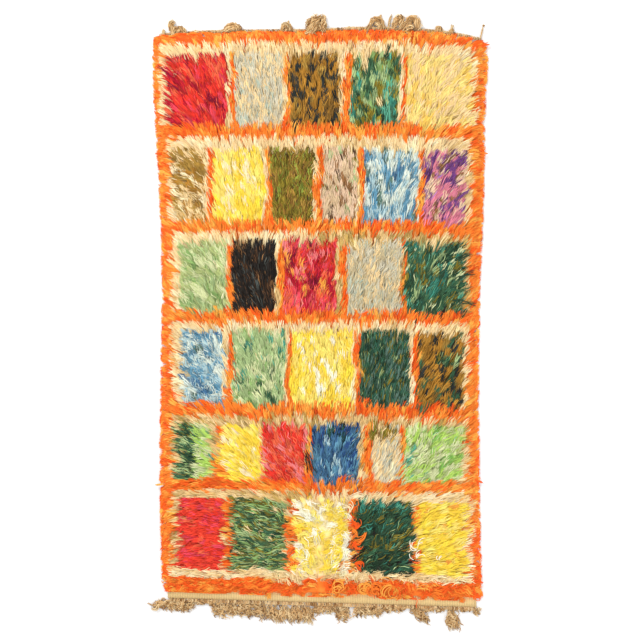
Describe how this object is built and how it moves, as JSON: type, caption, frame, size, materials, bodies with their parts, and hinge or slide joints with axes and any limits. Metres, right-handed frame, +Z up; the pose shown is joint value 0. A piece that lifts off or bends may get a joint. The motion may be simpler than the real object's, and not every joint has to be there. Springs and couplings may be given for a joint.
{
  "type": "rya rug",
  "caption": "Hand-knotted long-pile wool rug lying flat, with colour blocks in an orange grid, a bare woven end strip and knotted warp fringes at both ends.",
  "frame": {"origin": "middle of the rug's rectangle on the floor", "axes": "+X across the rug to its right, +Y along it towards the upper fringe, +Z up out of the pile"},
  "size_m": [1.0281, 1.8759, 0.0453],
  "materials": {
    "weave": "plain wool weave",
    "pile": "lustrous long wool pile",
    "fringe": "matted wool warp ends"
  },
  "bodies": {
    "root": {"ground_weave": "weave", "pile": "pile", "fringe_upper": "fringe", "fringe_lower": "fringe"}
  },
  "joints": []
}
